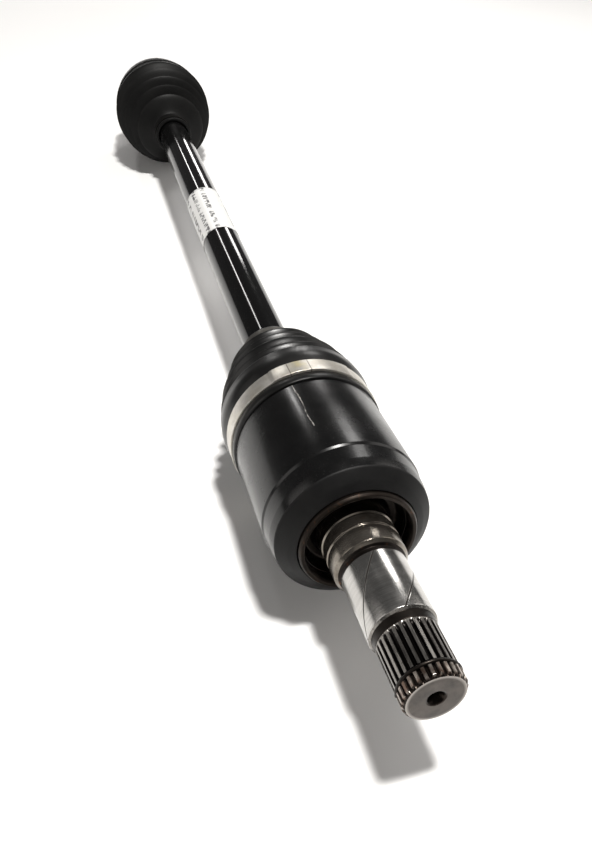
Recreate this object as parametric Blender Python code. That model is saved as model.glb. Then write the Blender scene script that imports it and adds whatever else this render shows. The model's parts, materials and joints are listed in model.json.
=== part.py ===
"""A car's drive axle: a solid shaft with a plunging tripod joint at its inner end and a ball joint at its outer end.

The shaft lies along +X, from the gearbox end to the wheel end, with +Z up and the floor at Z = 0.
Each joint's pieces hang on empties at the joint's centre: one for what is fixed to the shaft and one,
bent by the joint's rest angle, for its housing. Both are rolled about the shaft into the plane of the
bend. Outlines are (x, r) pairs in millimetres, x along the piece's own axis from its joint's centre,
and the mesh builders turn them into metres.
"""

import math

import bmesh
import bpy
from mathutils import Matrix, Vector

MM = 0.001
GAP = 0.3  # between pieces that touch

# Layout
CENTRE_DISTANCE = 576.6  # tripod centre to ball joint centre
AXIS_HEIGHT = 45.35
AXIS_Y = -0.985  # keeps the bent axle's box centred across
INNER_BEND, INNER_ROLL = 2.7, 16.5  # degrees: the inner stub points up, its plane of bending rolled about +X
OUTER_BEND, OUTER_ROLL = 7.55, -20.3  # degrees: the outer stub points down
INNER_REACH = 138.7  # tripod centre to the inner stub's end
OUTER_REACH = 118.0  # ball joint centre to the outer stub's end

# Shaft
SHAFT_R = 13.3
SPIDER_SEAT_R = 11.2
RACE_SEAT_R = 11.5
LABEL_START, LABEL_LENGTH = 245.0, 74.0

# Tripod joint
HOUSING_R = 37.75
CUFF_SEAT_R = 35.6
CUP_FLOOR, CUP_MOUTH = -40.7, 33.3
CUP_BORE_R = 24.0
MOUTH_R = 33.0
TRACK_HALF_WIDTH, TRACK_CROWN, TRACK_CORNER_R = 15.9, 32.6, 7.0
STUB_SPLINE_R, STUB_SPLINE_LENGTH, SPLINE_TEETH = 12.85, 27.0, 27
STUB_JOURNAL_R = 14.3
COLLAR_R = 16.5
ROLLER_R, ROLLER_HALF_WIDTH, ROLLER_PITCH = 15.0, 6.0, 23.0
ROLLER_BORE_R = 10.5
TRUNNION_R, TRUNNION_TIP = 7.5, 31.2
TRUNNION_ANGLES = (90, 210, 330)
SPIDER_HALF_WIDTH, SPIDER_HUB_R = 11.0, 16.6

# Ball joint
BELL_R = 42.7
BELL_SEAT_R = 41.0
BELL_MOUTH, BELL_FLOOR, BELL_SHOULDER = -12.0, 27.5, 34.0
BELL_SPHERE_R = 33.7
CAGE_OUTER_R, CAGE_INNER_R, CAGE_HALF_WIDTH = 33.0, 28.6, 12.5
RACE_R, RACE_HALF_WIDTH = 28.0, 12.0
BALL_R, BALL_PITCH, BALLS = 8.0, 29.0, 6
GROOVE_R = 9.2  # wider than the ball, which leaves its meridian a little as the joint bends
HUB_SPLINE_R, HUB_SPLINE_START, HUB_SPLINE_END = 13.6, 38.0, 79.0
THREAD_R = 11.8

# Boots
BOOT_WALL = 2.2
INNER_BEAD_R, OUTER_BEAD_R = 39.9, 45.4

# Facets round each kind of turned piece
COARSE, MEDIUM, FINE = 16, 24, 36

INNER_TIP_R = 11.6
OUTER_TIP_R = 10.6
TRIPOD_X = (
    INNER_REACH * math.cos(math.radians(INNER_BEND))
    + INNER_TIP_R * math.sin(math.radians(INNER_BEND))
    - CENTRE_DISTANCE
    - OUTER_REACH * math.cos(math.radians(OUTER_BEND))
    - OUTER_TIP_R * math.sin(math.radians(OUTER_BEND))
) / 2
BALL_X = TRIPOD_X + CENTRE_DISTANCE


# ---------------------------------------------------------------- materials and placing


def clear_scene():
    for obj in list(bpy.data.objects):
        bpy.data.objects.remove(obj)


def material(name, colour, roughness, metallic):
    made = bpy.data.materials.new(name)
    made.use_nodes = True
    shader = made.node_tree.nodes["Principled BSDF"]
    shader.inputs["Base Color"].default_value = (*colour, 1)
    shader.inputs["Roughness"].default_value = roughness
    shader.inputs["Metallic"].default_value = metallic
    return made


def pivot(name, x, roll=0, bend=0):
    """An empty on the shaft's axis, rolled about the shaft and then bent about its own +Y, in degrees."""
    empty = bpy.data.objects.new(name, None)
    empty.location = (x * MM, AXIS_Y * MM, AXIS_HEIGHT * MM)
    empty.rotation_mode = "ZYX"  # turns about +Y inside the roll about +X
    empty.rotation_euler = (math.radians(roll), math.radians(bend), 0)
    bpy.context.scene.collection.objects.link(empty)
    return empty


def new_object(name, mesh_builder, finish, parent):
    """An object from a bmesh in millimetres."""
    bmesh.ops.scale(mesh_builder, vec=(MM, MM, MM), verts=mesh_builder.verts)
    bmesh.ops.recalc_face_normals(mesh_builder, faces=mesh_builder.faces)
    mesh = bpy.data.meshes.new(name)
    mesh_builder.to_mesh(mesh)
    mesh_builder.free()
    mesh.shade_smooth()
    mesh.set_sharp_from_angle(angle=math.radians(35))
    obj = bpy.data.objects.new(name, mesh)
    obj.parent = parent
    if finish:
        mesh.materials.append(finish)
    bpy.context.scene.collection.objects.link(obj)
    return obj


def use_as_tool(target, tool, operation):
    """A Boolean on the target. The tool stays in the scene as a wire that isn't rendered."""
    tool.hide_render = True
    tool.display_type = "WIRE"
    boolean = target.modifiers.new(tool.name, "BOOLEAN")
    boolean.operation = operation
    boolean.solver = "EXACT"
    boolean.object = tool


# ---------------------------------------------------------------- mesh builders


def turned(outline, sides):
    """A bmesh turned about X. An outline that starts and ends on the axis is a solid; any other is a closed ring."""
    bm = bmesh.new()
    points = [bm.verts.new((x, 0, r)) for x, r in outline]
    solid = outline[0][1] == 0 and outline[-1][1] == 0
    pairs = list(zip(points, points[1:]))
    if not solid:
        pairs.append((points[-1], points[0]))
    edges = [bm.edges.new(pair) for pair in pairs]
    bmesh.ops.spin(
        bm,
        geom=points + edges,
        cent=(0, 0, 0),
        axis=(1, 0, 0),
        angle=2 * math.pi,
        steps=sides,
        use_merge=True,
    )
    bmesh.ops.remove_doubles(bm, verts=bm.verts, dist=1e-4)
    return bm


def lathe(name, outline, sides, finish=None, parent=None):
    return new_object(name, turned(outline, sides), finish, parent)


def ring(name, x0, x1, inner_r, outer_r, sides, finish, parent=None):
    outline = [(x0, inner_r), (x0, outer_r), (x1, outer_r), (x1, inner_r)]
    return lathe(name, outline, sides, finish, parent)


def skinned(rings):
    """A closed bmesh over rings of equally many points, each joined to the next, with flat ends."""
    bm = bmesh.new()
    loops = [[bm.verts.new(point) for point in points] for points in rings]
    count = len(rings[0])
    for a, b in zip(loops, loops[1:]):
        for k in range(count):
            after = (k + 1) % count
            bm.faces.new((a[k], a[after], b[after], b[k]))
    bm.faces.new(loops[0])
    bm.faces.new(loops[-1])
    return bm


def arc(radius, start, end, steps):
    """(x, r) points on a circle about the origin, by the angle from the r axis in degrees."""
    turns = [math.radians(start + (end - start) * k / steps) for k in range(steps + 1)]
    return [(radius * math.sin(a), radius * math.cos(a)) for a in turns]


def sphere_angle(radius, x):
    return math.degrees(math.asin(x / radius))


def splined_bar(name, tip_r, root_r, teeth, stations):
    """A toothed bar along X. Each station is (x, the largest radius there)."""
    shape = ((0.0, root_r), (0.28, root_r), (0.42, tip_r), (0.86, tip_r))
    rings = []
    for x, limit in stations:
        points = []
        for tooth in range(teeth):
            for share, radius in shape:
                turn = 2 * math.pi * (tooth + share) / teeth
                r = min(radius, limit)
                points.append((x, r * math.cos(turn), r * math.sin(turn)))
        rings.append(points)
    return new_object(name, skinned(rings), None, None)


def convoluted(crests, valley_depth, lip, cuff_r, neck, neck_r):
    """A boot's outer line: the wide cuff from lip, rounded crests with valleys between, then the neck cuff.

    crests are (x, r) in order away from the wide end, and neck is the small cuff's (start, end).
    """
    towards = 1 if neck[1] > lip else -1
    line = [(lip, cuff_r), (crests[0][0] - towards * 7, cuff_r)]
    for number, (x, r) in enumerate(crests):
        line.append((x, r))
        if number + 1 < len(crests):
            beyond_x, beyond_r = crests[number + 1]
            line.append(((x + beyond_x) / 2, min(r, beyond_r) - valley_depth))
    line += [(neck[0], neck_r), (neck[1], neck_r)]
    return line


def bent_shell(name, line, bore_radii, bend, start, end, sides, finish, parent):
    """A thin turned shell that follows its housing before start and the shaft after end.

    bore_radii are the wall's inner radii at the line's two cuffs; the parent is the housing's pivot.
    """
    inner = [(x, r - BOOT_WALL) for x, r in line]
    inner[0], inner[1] = (line[0][0], bore_radii[0]), (line[1][0], bore_radii[0])
    inner[-2], inner[-1] = (line[-2][0], bore_radii[1]), (line[-1][0], bore_radii[1])
    bm = turned(line + inner[::-1], sides)
    for vert in bm.verts:
        share = min(max((vert.co.x - start) / (end - start), 0), 1)
        share = share * share * (3 - 2 * share)
        vert.co = Matrix.Rotation(-math.radians(bend) * share, 3, "Y") @ vert.co
    return new_object(name, bm, finish, parent)


def spoke_matrix(degrees, reach):
    """Turns a piece's +X to point away from the joint's axis at this angle from +Y, and moves it out."""
    spin = Matrix.Rotation(math.radians(degrees), 4, "X")
    return spin @ Matrix.Translation((0, reach * MM, 0)) @ Matrix.Rotation(math.pi / 2, 4, "Z")


# ---------------------------------------------------------------- the shaft and what is fixed to it


def make_shaft(steel, paper):
    race = CENTRE_DISTANCE
    outline = [
        (-18, 0),
        (-18, SPIDER_SEAT_R - 1),
        (-17, SPIDER_SEAT_R),
        (-14.6, SPIDER_SEAT_R),
        (-14.6, 10),
        (-12.4, 10),
        (-12.4, SPIDER_SEAT_R),
        (SPIDER_HALF_WIDTH + GAP, SPIDER_SEAT_R),
        (SPIDER_HALF_WIDTH + 1, 12),
        (30, 12),
        (36, SHAFT_R),
        (race - 86, SHAFT_R),
        (race - 80, 11.5),
        (race - 18, 11.5),
        (race - 17, 13.2),
        (race - RACE_HALF_WIDTH - GAP, 13.2),
        (race - RACE_HALF_WIDTH - GAP, RACE_SEAT_R),
        (race + 12.2, RACE_SEAT_R),
        (race + 12.2, 10.3),
        (race + 14.4, 10.3),
        (race + 14.4, RACE_SEAT_R),
        (race + 16, RACE_SEAT_R),
        (race + 17, RACE_SEAT_R - 1),
        (race + 17, 0),
    ]
    on_shaft = pivot("shaft_frame", TRIPOD_X)
    lathe("intermediate_shaft", outline, MEDIUM, steel, on_shaft)
    label_end = LABEL_START + LABEL_LENGTH
    ring("shaft_label", LABEL_START, label_end, SHAFT_R + GAP, SHAFT_R + 0.6, MEDIUM, paper, on_shaft)
    return on_shaft


def make_spider(steel, dark_steel, on_spider):
    half, hub = SPIDER_HALF_WIDTH, SPIDER_HUB_R
    bore = SPIDER_SEAT_R + GAP
    outline = [(-half, bore), (-half, hub - 1.5), (-half + 1.5, hub)]
    outline += [(half - 1.5, hub), (half, hub - 1.5), (half, bore)]
    spider = lathe("tripod_spider", outline, MEDIUM, steel, on_spider)
    trunnion = [
        (13, 0),
        (13, TRUNNION_R),
        (29, TRUNNION_R),
        (29, 6.8),
        (30.6, 6.8),
        (30.6, TRUNNION_R),
        (TRUNNION_TIP, TRUNNION_R - 0.6),
        (TRUNNION_TIP, 0),
    ]
    for number, degrees in enumerate(TRUNNION_ANGLES, 1):
        peg = lathe(f"trunnion_{number}", trunnion, COARSE, None, on_spider)
        peg.matrix_local = spoke_matrix(degrees, 0)
        use_as_tool(spider, peg, "UNION")
    ring("spider_snap_ring", -14.3, -12.7, 10.3, 13, COARSE, dark_steel, on_spider)


def make_rollers(steel, dark_steel, on_spider):
    half = ROLLER_HALF_WIDTH
    edge = sphere_angle(ROLLER_R, half)
    roller = arc(ROLLER_R, -edge, edge, 6) + [(half, ROLLER_BORE_R), (-half, ROLLER_BORE_R)]
    for number, degrees in enumerate(TRUNNION_ANGLES, 1):
        place = spoke_matrix(degrees, ROLLER_PITCH)
        lathe(f"tripod_roller_{number}", roller, MEDIUM, steel, on_spider).matrix_local = place
        needles = ring(f"needle_set_{number}", 0.3 - half, half - 0.3, 7.8, 10.2, COARSE, steel, on_spider)
        needles.matrix_local = place
        clip = ring(f"roller_clip_{number}", 6.3, 7.3, 7.1, 9.8, COARSE, dark_steel, on_spider)
        clip.matrix_local = place


def make_race(steel, dark_steel, on_race):
    edge = sphere_angle(RACE_R, RACE_HALF_WIDTH)
    bore = RACE_SEAT_R + GAP
    outline = arc(RACE_R, -edge, edge, 6) + [(RACE_HALF_WIDTH, bore), (-RACE_HALF_WIDTH, bore)]
    race = lathe("inner_race", outline, FINE, steel, on_race)
    for number in range(BALLS):
        groove = ball_groove(f"race_groove_{number + 1}", number, -58, 58, on_race)
        use_as_tool(race, groove, "DIFFERENCE")
    ring("race_circlip", 12.5, 14.1, 10.6, 13.2, COARSE, dark_steel, on_race)


def ball_angle(number):
    return 90 + 360 * number / BALLS


def ball_groove(name, number, start, end, parent):
    """A bent tube along the meridian that this ball runs on, from start to end degrees off the joint's plane."""
    steps, sides = 8, 12
    rings = []
    for k in range(steps + 1):
        lean = math.radians(start + (end - start) * k / steps)
        outward = Vector((math.sin(lean), 0, math.cos(lean)))
        points = []
        for side in range(sides):
            turn = 2 * math.pi * side / sides
            across = Vector((0, math.sin(turn), 0)) + outward * math.cos(turn)
            points.append(outward * BALL_PITCH + across * GROOVE_R)
        rings.append(points)
    groove = new_object(name, skinned(rings), None, parent)
    groove.rotation_euler.x = math.radians(ball_angle(number) - 90)
    return groove


def make_small_clamps(steel, dark_steel, on_shaft):
    ring("inner_boot_small_clamp", 93.5, 99.5, 16.6, 17.4, MEDIUM, steel, on_shaft)
    start = CENTRE_DISTANCE - 90.5
    ring("outer_boot_small_clamp", start, start + 6, 16.2, 17, MEDIUM, dark_steel, on_shaft)


# ---------------------------------------------------------------- inner joint


def track_outline():
    """The three roller tracks across the cup, as (y, z): parallel walls that end in a rounded crown."""
    notch = TRACK_HALF_WIDTH / math.sin(math.radians(60))
    centre = (TRACK_CROWN - TRACK_CORNER_R, TRACK_HALF_WIDTH - TRACK_CORNER_R)
    points = []
    for degrees in TRUNNION_ANGLES:
        lobe = [(notch * math.cos(math.radians(60)), -TRACK_HALF_WIDTH)]
        for side in (-1, 1):
            for k in range(5):
                turn = math.radians(90 - 22.5 * k if side < 0 else 22.5 * k)
                lobe.append(
                    (
                        centre[0] + TRACK_CORNER_R * math.cos(turn),
                        side * (centre[1] + TRACK_CORNER_R * math.sin(turn)),
                    )
                )
        spin = Matrix.Rotation(math.radians(degrees), 2)
        points += [spin @ Vector(point) for point in lobe]
    return points


def make_inner_housing(paint, dark_steel, spring_steel, on_joint):
    def from_tip(distance):
        return distance - INNER_REACH

    groove, spline_end = from_tip(5.5), from_tip(STUB_SPLINE_LENGTH)
    housing = lathe(
        "inner_housing",
        [
            (from_tip(12), 0),
            (from_tip(12), 10.5),
            (from_tip(26), 10.5),
            (from_tip(26.4), 12.95),
            (from_tip(30), 12.95),
            (from_tip(30.7), STUB_JOURNAL_R),
            (from_tip(61.5), STUB_JOURNAL_R),
            (from_tip(61.9), 13.8),
            (from_tip(64), 13.8),
            (from_tip(64.5), 14.8),
            (from_tip(69), COLLAR_R),
            (from_tip(90), COLLAR_R),
            (from_tip(92), 18.5),
            (from_tip(92), 21.5),
            (from_tip(89), 23.6),
            (from_tip(86.5), 23.6),
            (from_tip(86.5), 27.1),
            (from_tip(81), 27.1),
            (from_tip(86), 33.2),
            (from_tip(89), 35.6),
            (from_tip(94), 36.9),
            (from_tip(101.5), 37.2),
            (from_tip(102.3), HOUSING_R),
            (from_tip(153.4), HOUSING_R),
            (from_tip(154), CUFF_SEAT_R),
            (CUP_MOUTH - 0.6, CUFF_SEAT_R),
            (CUP_MOUTH, CUFF_SEAT_R - 0.6),
            (CUP_MOUTH, 0),
        ],
        FINE,
        paint,
        on_joint,
    )
    stations = [(from_tip(0), INNER_TIP_R), (from_tip(1.4), STUB_SPLINE_R)]
    stations += [(groove, STUB_SPLINE_R), (groove, 11), (groove + 1.9, 11), (groove + 1.9, STUB_SPLINE_R)]
    stations.append((spline_end, STUB_SPLINE_R))
    teeth = splined_bar("inner_spline", STUB_SPLINE_R, 11.7, SPLINE_TEETH, stations)
    bore = [(CUP_FLOOR, 0), (CUP_FLOOR, CUP_BORE_R - 2), (CUP_FLOOR + 2, CUP_BORE_R)]
    bore += [(CUP_MOUTH - 22, CUP_BORE_R), (CUP_MOUTH + 0.5, MOUTH_R + 0.2), (CUP_MOUTH + 0.5, 0)]
    centre_drill = [(from_tip(-0.5), 0), (from_tip(-0.5), 3.9), (from_tip(3), 1.9), (from_tip(8), 1.9), (from_tip(8), 0)]
    ends = (CUP_FLOOR + 0.8, CUP_MOUTH + 2)
    tracks = skinned([[(x, y, z) for y, z in track_outline()] for x in ends])
    tools = (
        (teeth, "UNION"),
        (lathe("cup_bore", bore, FINE), "DIFFERENCE"),
        (new_object("roller_tracks", tracks, None, None), "DIFFERENCE"),
        (lathe("inner_centre_drill", centre_drill, COARSE), "DIFFERENCE"),
    )
    for tool, operation in tools:
        tool.parent = on_joint
        use_as_tool(housing, tool, operation)
    ring("stub_circlip", groove + GAP, groove + 1.9 - GAP, 11.3, 13.3, MEDIUM, spring_steel, on_joint)
    outline = [(from_tip(86.2), 23.9), (from_tip(81.4), 23.9), (from_tip(80.2), 25)]
    outline += [(from_tip(80.2), 26.2), (from_tip(81), 26.8), (from_tip(86.2), 26.8)]
    lathe("dust_ring", outline, MEDIUM, dark_steel, on_joint)


def make_inner_boot(rubber, steel, on_joint):
    crests = [(40, INNER_BEAD_R), (53, 37.2), (62.5, 33.9), (72, 30.8), (81, 27.7)]
    line = convoluted(crests, 5, 15.6, 38.4, (91, 101), 16.3)
    bores = (CUFF_SEAT_R + GAP, SHAFT_R + GAP)
    bent_shell("inner_boot", line, bores, INNER_BEND, 36, 90, FINE, rubber, on_joint)
    ring("inner_boot_large_clamp", 21.2, 30.4, 38.7, 39.4, FINE, steel, on_joint)


# ---------------------------------------------------------------- outer joint


def make_outer_housing(paint, steel, on_joint):
    mouth = sphere_angle(BELL_SPHERE_R, BELL_MOUTH)
    floor = sphere_angle(BELL_SPHERE_R, BELL_FLOOR)
    outline = [(BELL_FLOOR, 0)]
    outline += arc(BELL_SPHERE_R, floor, mouth, 8)
    outline += [
        (BELL_MOUTH, BELL_SEAT_R - 0.8),
        (BELL_MOUTH + 0.8, BELL_SEAT_R),
        (5, BELL_SEAT_R),
        (5.6, BELL_R),
        (24, BELL_R),
        (27.5, 41.2),
        (32.5, 33.5),
        (BELL_SHOULDER, 31.5),
        (BELL_SHOULDER, 16),
        (36, 14.3),
        (HUB_SPLINE_START + 1, 14.3),
        (HUB_SPLINE_START + 1.5, 11.9),
        (HUB_SPLINE_END - 0.6, 11.9),
        (HUB_SPLINE_END - 0.5, THREAD_R),
        (OUTER_REACH - 1.2, THREAD_R),
        (OUTER_REACH, OUTER_TIP_R),
        (OUTER_REACH, 3.4),
        (OUTER_REACH - 3, 1.8),
        (OUTER_REACH - 8, 1.8),
        (OUTER_REACH - 8, 0),
    ]
    housing = lathe("outer_housing", outline, FINE, paint, on_joint)
    stations = [(HUB_SPLINE_START, HUB_SPLINE_R), (HUB_SPLINE_END - 1.2, HUB_SPLINE_R), (HUB_SPLINE_END, 12.4)]
    teeth = splined_bar("outer_spline", HUB_SPLINE_R, 12.4, SPLINE_TEETH + 1, stations)
    teeth.parent = on_joint
    use_as_tool(housing, teeth, "UNION")
    for number in range(BALLS):
        groove = ball_groove(f"bell_groove_{number + 1}", number, -58, 44, on_joint)
        use_as_tool(housing, groove, "DIFFERENCE")
    washer_start = HUB_SPLINE_END + 1.6
    ring("hub_washer", washer_start, washer_start + 3.4, 12.2, 20, MEDIUM, steel, on_joint)
    nut_start = washer_start + 3.4 + GAP
    make_nut("hub_nut", nut_start, 18, 12.15, 16, steel, on_joint)


def make_nut(name, x, length, bore_r, flat_r, finish, parent):
    """A hexagon nut, its corners trimmed by a cone at both ends."""
    corner_r = flat_r / math.cos(math.radians(30))
    prism = lathe(name, [(x, 0), (x, corner_r), (x + length, corner_r), (x + length, 0)], 6, finish, parent)
    trim = corner_r - flat_r * 0.98
    outline = [(x - 1, bore_r), (x - 1, flat_r * 0.98 - 1.7), (x + trim * 0.6, corner_r + 0.1)]
    outline += [(x + length - trim * 0.6, corner_r + 0.1), (x + length + 1, flat_r * 0.98 - 1.7)]
    outline.append((x + length + 1, bore_r))
    use_as_tool(prism, lathe(f"{name}_envelope", outline, FINE, None, parent), "INTERSECT")


def make_cage(steel, bright_steel, on_cage):
    outer = sphere_angle(CAGE_OUTER_R, CAGE_HALF_WIDTH)
    inner = sphere_angle(CAGE_INNER_R, CAGE_HALF_WIDTH)
    outline = arc(CAGE_OUTER_R, -outer, outer, 6) + arc(CAGE_INNER_R, inner, -inner, 6)
    cage = lathe("ball_cage", outline, FINE, steel, on_cage)
    window_length, window_width, through = 17.0, 20.0, 80.0
    for number in range(BALLS // 2):
        bm = bmesh.new()
        bmesh.ops.create_cube(bm, size=1)
        bmesh.ops.scale(bm, vec=(window_length, window_width, through), verts=bm.verts)
        window = new_object(f"cage_window_{number + 1}", bm, None, on_cage)
        window.rotation_euler.x = math.radians(ball_angle(number) - 90)
        use_as_tool(cage, window, "DIFFERENCE")
    for number in range(BALLS):
        bm = bmesh.new()
        bmesh.ops.create_icosphere(bm, subdivisions=2, radius=BALL_R)
        ball = new_object(f"ball_{number + 1}", bm, bright_steel, on_cage)
        ball.matrix_local = spoke_matrix(ball_angle(number), BALL_PITCH)


def make_outer_boot(rubber, steel, on_joint):
    crests = [(-30, OUTER_BEAD_R), (-48, 43.5), (-58, 40.3), (-66, 36.4), (-73, 31)]
    line = convoluted(crests, 5, 4, 43.6, (-81, -94), 15.9)
    bores = (BELL_SEAT_R + GAP, SHAFT_R + GAP)
    bent_shell("outer_boot", line, bores, OUTER_BEND, -20, -79, FINE, rubber, on_joint)
    ring("outer_boot_large_clamp", -7, 0, 43.9, 44.7, FINE, steel, on_joint)


def build():
    clear_scene()
    black_paint = material("black_paint", (0.012, 0.012, 0.013), 0.28, 0.0)
    bright_steel = material("bright_steel", (0.55, 0.54, 0.53), 0.22, 1.0)
    dark_steel = material("dark_steel", (0.16, 0.14, 0.13), 0.42, 1.0)
    band_steel = material("band_steel", (0.62, 0.6, 0.56), 0.3, 1.0)
    rubber = material("boot_rubber", (0.014, 0.014, 0.015), 0.5, 0.0)
    paper = material("label_paper", (0.82, 0.82, 0.8), 0.6, 0.0)

    on_shaft = make_shaft(black_paint, paper)
    on_spider = pivot("spider_frame", TRIPOD_X, INNER_ROLL)
    make_spider(bright_steel, dark_steel, on_spider)
    make_rollers(bright_steel, dark_steel, on_spider)
    make_race(bright_steel, dark_steel, pivot("race_frame", BALL_X, OUTER_ROLL))
    make_small_clamps(band_steel, dark_steel, on_shaft)

    on_inner = pivot("inner_joint", TRIPOD_X, INNER_ROLL, INNER_BEND)
    make_inner_housing(black_paint, dark_steel, dark_steel, on_inner)
    make_inner_boot(rubber, band_steel, on_inner)

    on_outer = pivot("outer_joint", BALL_X, OUTER_ROLL, OUTER_BEND)
    make_outer_housing(black_paint, bright_steel, on_outer)
    make_outer_boot(rubber, dark_steel, on_outer)
    make_cage(dark_steel, bright_steel, pivot("cage_joint", BALL_X, OUTER_ROLL, OUTER_BEND / 2))


build()
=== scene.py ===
"""The looks of a car's drive axle: fine turned surfaces, boots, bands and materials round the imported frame.

Outlines are (x, r) pairs in millimetres, x along the piece's own axis from its joint's centre, as on the
CAD model. Each piece's mesh is in metres in its joint's frame, and its object's matrix puts it in place.
"""

import json
import math

import bmesh
import bpy
from mathutils import Matrix, Quaternion, Vector


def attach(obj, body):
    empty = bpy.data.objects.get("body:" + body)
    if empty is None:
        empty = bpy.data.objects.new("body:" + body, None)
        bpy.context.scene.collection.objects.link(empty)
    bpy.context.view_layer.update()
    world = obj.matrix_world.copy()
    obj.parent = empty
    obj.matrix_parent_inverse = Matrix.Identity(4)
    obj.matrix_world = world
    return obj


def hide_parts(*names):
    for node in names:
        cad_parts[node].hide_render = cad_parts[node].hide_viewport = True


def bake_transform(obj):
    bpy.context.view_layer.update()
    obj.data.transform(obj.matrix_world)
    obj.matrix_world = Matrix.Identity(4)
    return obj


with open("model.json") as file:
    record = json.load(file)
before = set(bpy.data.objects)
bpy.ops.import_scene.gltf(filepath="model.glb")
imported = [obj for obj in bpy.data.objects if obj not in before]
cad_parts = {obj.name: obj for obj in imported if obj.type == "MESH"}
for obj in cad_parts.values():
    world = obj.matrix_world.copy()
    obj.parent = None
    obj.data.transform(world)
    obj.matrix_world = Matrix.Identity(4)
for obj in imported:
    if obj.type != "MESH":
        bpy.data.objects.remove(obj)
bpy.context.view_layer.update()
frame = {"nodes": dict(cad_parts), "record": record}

MM = 0.001
JOINTS = {joint["name"]: joint for joint in frame["record"]["behaviour"]["joints"]}
MOUNTS = {mount["name"]: mount for mount in frame["record"]["mounts"]}

INNER_REACH, OUTER_REACH = 138.7, 118.0  # from each joint's centre to its stub's end
SHAFT_R, NECK_R = 13.3, 11.5  # the painted bar and its thinner ends inside the boots
HOUSING_R, CUFF_SEAT_R = 37.75, 35.6
CENTRE_DISTANCE = (JOINTS["outer_bend"]["pos_m"][0] - JOINTS["inner_bend"]["pos_m"][0]) / MM
INNER_TEETH, OUTER_TEETH = 27, 28


def joint_frame(position, along):
    """A frame at a joint's centre, its X axis along the housing and its Y axis as level as that allows."""
    x = Vector(along).normalized()
    z = x.cross((0, 1, 0)).normalized()
    turn = Matrix((x, z.cross(x), z)).transposed().to_4x4()
    return Matrix.Translation(Vector(position)) @ turn


AT_SHAFT = joint_frame(JOINTS["inner_bend"]["pos_m"], (1, 0, 0))
AT_INNER = joint_frame(JOINTS["inner_bend"]["pos_m"], JOINTS["plunge"]["axis"])
AT_BALLS = joint_frame(JOINTS["outer_bend"]["pos_m"], (1, 0, 0))
AT_OUTER = joint_frame(JOINTS["outer_bend"]["pos_m"], MOUNTS["bell_shoulder"]["axis"])


SPOKE = AT_INNER.to_3x3().inverted() @ Vector(JOINTS["roller_1_spin"]["axis"])
TRACK_TURN = math.atan2(SPOKE.y, SPOKE.z) / (2 * math.pi)
TRACK_ROOF, TRACK_HALF_WIDTH, TRACK_CORNER_R = 32.6, 15.9, 7.0
CUP_FLOOR, CUP_MOUTH = -40.7, 33.3
CUP_BORE_R, MOUTH_R, MOUTH_DEPTH, MOUTH_ROWS = 24.0, 33.0, 22.0, 10


# ---------------------------------------------------------------- materials


class Nodes:
    """A material's node tree, with short calls for the nodes used here."""

    def __init__(self, name):
        self.material = bpy.data.materials.new(name)
        self.material.use_nodes = True
        self.tree = self.material.node_tree
        self.shader = self.tree.nodes["Principled BSDF"]

    def node(self, kind, **settings):
        made = self.tree.nodes.new(kind)
        for key, value in settings.items():
            setattr(made, key, value)
        return made

    def link(self, source, target):
        self.tree.links.new(source, target)

    def position(self, scale=(1, 1, 1)):
        mapping = self.node("ShaderNodeMapping")
        mapping.inputs["Scale"].default_value = scale
        self.link(self.node("ShaderNodeTexCoord").outputs["Object"], mapping.inputs["Vector"])
        return mapping.outputs["Vector"]

    def noise(self, scale, detail=4.0, roughness=0.55, stretch=(1, 1, 1)):
        noise = self.node("ShaderNodeTexNoise")
        noise.inputs["Scale"].default_value = scale
        noise.inputs["Detail"].default_value = detail
        noise.inputs["Roughness"].default_value = roughness
        self.link(self.position(stretch), noise.inputs["Vector"])
        return noise.outputs["Fac"]

    def math(self, operation, *values):
        made = self.node("ShaderNodeMath", operation=operation)
        for socket, value in zip(made.inputs, values):
            if isinstance(value, (int, float)):
                socket.default_value = value
            else:
                self.link(value, socket)
        return made.outputs[0]

    def spread(self, value, low, high, to_low=0.0, to_high=1.0):
        made = self.node("ShaderNodeMapRange")
        for name, number in (("From Min", low), ("From Max", high), ("To Min", to_low), ("To Max", to_high)):
            made.inputs[name].default_value = number
        self.link(value, made.inputs["Value"])
        return made.outputs[0]

    def mix(self, share, first, second):
        made = self.node("ShaderNodeMix", data_type="RGBA")
        if isinstance(share, (int, float)):
            made.inputs["Factor"].default_value = share
        else:
            self.link(share, made.inputs["Factor"])
        for socket, value in ((made.inputs[6], first), (made.inputs[7], second)):
            if isinstance(value, tuple):
                socket.default_value = (*value, 1)
            else:
                self.link(value, socket)
        return made.outputs[2]

    def axis(self):
        """(x, y, z, angle about X in turns) of the point in the piece's own frame."""
        parts = self.node("ShaderNodeSeparateXYZ")
        self.link(self.position(), parts.inputs[0])
        x, y, z = parts.outputs
        turn = self.math("DIVIDE", self.math("ARCTAN2", z, y), 2 * math.pi)
        return x, y, z, turn

    def bump(self, height, distance, strength=1.0):
        made = self.node("ShaderNodeBump")
        made.inputs["Strength"].default_value = strength
        made.inputs["Distance"].default_value = distance
        self.link(height, made.inputs["Height"])
        self.link(made.outputs[0], self.shader.inputs["Normal"])

    def set(self, **values):
        names = {"colour": "Base Color", "roughness": "Roughness", "metallic": "Metallic"}
        names.update(coat="Coat Weight", coat_roughness="Coat Roughness", specular="Specular IOR Level")
        for key, value in values.items():
            socket = self.shader.inputs[names[key]]
            if isinstance(value, tuple):
                socket.default_value = (*value, 1)
            elif isinstance(value, (int, float)):
                socket.default_value = value
            else:
                self.link(value, socket)
        return self.material


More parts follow.
